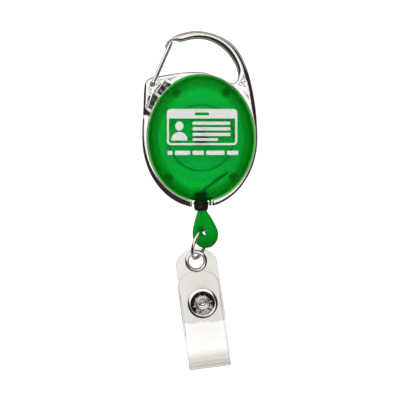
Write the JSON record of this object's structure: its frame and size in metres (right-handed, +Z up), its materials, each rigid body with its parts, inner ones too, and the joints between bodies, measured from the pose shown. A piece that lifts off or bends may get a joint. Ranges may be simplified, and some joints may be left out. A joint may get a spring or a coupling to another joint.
{
  "type": "retractable badge reel",
  "caption": "Retractable badge reel: oval translucent case in a cast carabiner frame, spring-wound cord, and a clear snap strap for a badge.",
  "frame": {"origin": "on the table, under the spool's axis, on the flat back of the case", "axes": "+Z up out of the reel's face, +Y from the case to the carabiner's hook, +X to the right when the face is seen with the hook at the top"},
  "size_m": [0.0354, 0.1047, 0.0116],
  "materials": {
    "chrome_casting": "polished chrome on a zinc casting",
    "polished_wire": "polished nickel plated steel wire",
    "green_plastic": "glossy translucent green",
    "green_drop_plastic": "glossy translucent green",
    "black_plastic": "satin black",
    "spool_plastic": "plain moulded, pale",
    "dark_steel": "blackened",
    "spring_steel": "rolled blue-grey strip",
    "cord_braid": "braided nylon, black",
    "clear_vinyl": "clear flexible vinyl",
    "nickel_plate": "nickel plated pressed brass"
  },
  "bodies": {
    "case": {"carabiner_frame": "chrome_casting", "front_cover": "green_plastic", "rear_cover": "green_plastic", "cord_guide": "black_plastic", "spring_arbor": "dark_steel", "cord_inner_run": "cord_braid"},
    "gate": {"gate_wire": "polished_wire"},
    "reel": {"spool": "spool_plastic", "spring_cover_disc": "spool_plastic", "power_spring": "spring_steel", "cord_winding": "cord_braid"},
    "cord_line": {"cord_outer_run": "cord_braid"},
    "cord_tip": {"cord_knot": "cord_braid"},
    "drop": {"cord_end": "green_drop_plastic"},
    "ring": {"link_ring": "polished_wire"},
    "strap": {"strap_back": "clear_vinyl", "strap_eyelet": "nickel_plate", "snap_post": "nickel_plate", "snap_stud": "nickel_plate"},
    "flap": {"strap_flap": "clear_vinyl", "snap_socket": "nickel_plate", "snap_ring": "nickel_plate"}
  },
  "joints": [
    {"name": "gate_open", "type": "hinge", "parent": "case", "child": "gate", "pos_m": [-0.01495, 0.0166, 0.0058], "axis": [0, 0, -1], "range_deg": [0, 30], "stiffness_Nm_per_rad": 0.02, "springref_deg": -20.05},
    {"name": "cord_swing", "type": "hinge", "parent": "case", "child": "cord_line", "pos_m": [0, -0.022, 0.0058], "axis": [0, 0, 1], "range_deg": [-25, 8]},
    {"name": "cord_pull", "type": "slide", "parent": "cord_line", "child": "cord_tip", "axis": [0.1478, -0.989, 0], "range_m": [0, 0.76], "stiffness_N_per_m": 0.9, "springref_m": -0.7, "deforming": ["cord_outer_run"]},
    {"name": "cord_end_twist", "type": "hinge", "parent": "cord_tip", "child": "drop", "pos_m": [0, -0.022, 0.0058], "axis": [-0.1478, 0.989, 0], "continuous": true},
    {"name": "ring_swing", "type": "hinge", "parent": "drop", "child": "ring", "pos_m": [0.00099, -0.02863, 0.0054], "axis": [0, 0, 1], "range_deg": [-5, 20]},
    {"name": "strap_swing", "type": "hinge", "parent": "ring", "child": "strap", "pos_m": [-0.00135, -0.03683, 0.0039], "axis": [0, 0, 1], "range_deg": [-25, 20]},
    {"name": "flap_open", "type": "hinge", "parent": "strap", "child": "flap", "pos_m": [0.00242, -0.06755, 0.00606], "axis": [0.9912, 0.1323, 0], "range_deg": [0, 110]},
    {"name": "spool_spin", "type": "hinge", "parent": "case", "child": "reel", "pos_m": [0, 0, 0.0058], "axis": [0, 0, -1], "range_deg": [0, 3640], "deforming": ["power_spring"]}
  ],
  "couplings": [
    {"joint": "spool_spin", "follows": "cord_pull", "rad_per_m": 83.3}
  ]
}
